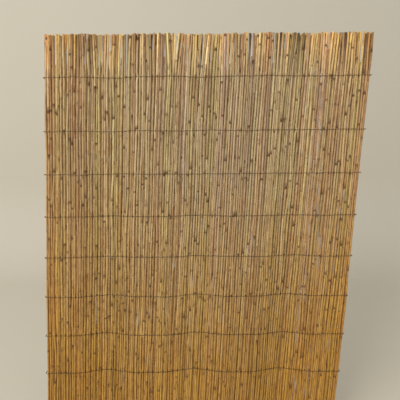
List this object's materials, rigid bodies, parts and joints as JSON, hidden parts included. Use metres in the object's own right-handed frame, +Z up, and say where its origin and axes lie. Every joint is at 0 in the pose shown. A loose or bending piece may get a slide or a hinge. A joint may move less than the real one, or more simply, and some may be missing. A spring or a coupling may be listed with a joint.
{
  "type": "reed screen",
  "caption": "Upright panel of dry reeds bound side by side with rows of twisted wire, cut level at both ends, gently waved and leaning a little along its wires.",
  "frame": {"origin": "centre of the box's bottom, at the level-cut bottom ends of the reeds", "axes": "+Z up along the screen's height, +X along the wires, the seen face towards -Y"},
  "size_m": [0.7958, 0.029, 1],
  "materials": {
    "reed": "dry reed stems, straw to orange brown, with darker nodes, satin",
    "wire": "thin galvanised steel wire gone dull and brown"
  },
  "bodies": {
    "root": {"reed_mat": "reed", "binding_wire_1a": "wire", "binding_wire_1b": "wire", "binding_wire_2a": "wire", "binding_wire_2b": "wire", "binding_wire_3a": "wire", "binding_wire_3b": "wire", "binding_wire_4a": "wire", "binding_wire_4b": "wire", "binding_wire_5a": "wire", "binding_wire_5b": "wire", "binding_wire_6a": "wire", "binding_wire_6b": "wire", "binding_wire_7a": "wire", "binding_wire_7b": "wire", "binding_wire_8a": "wire", "binding_wire_8b": "wire", "binding_wire_9a": "wire", "binding_wire_9b": "wire"}
  },
  "joints": []
}
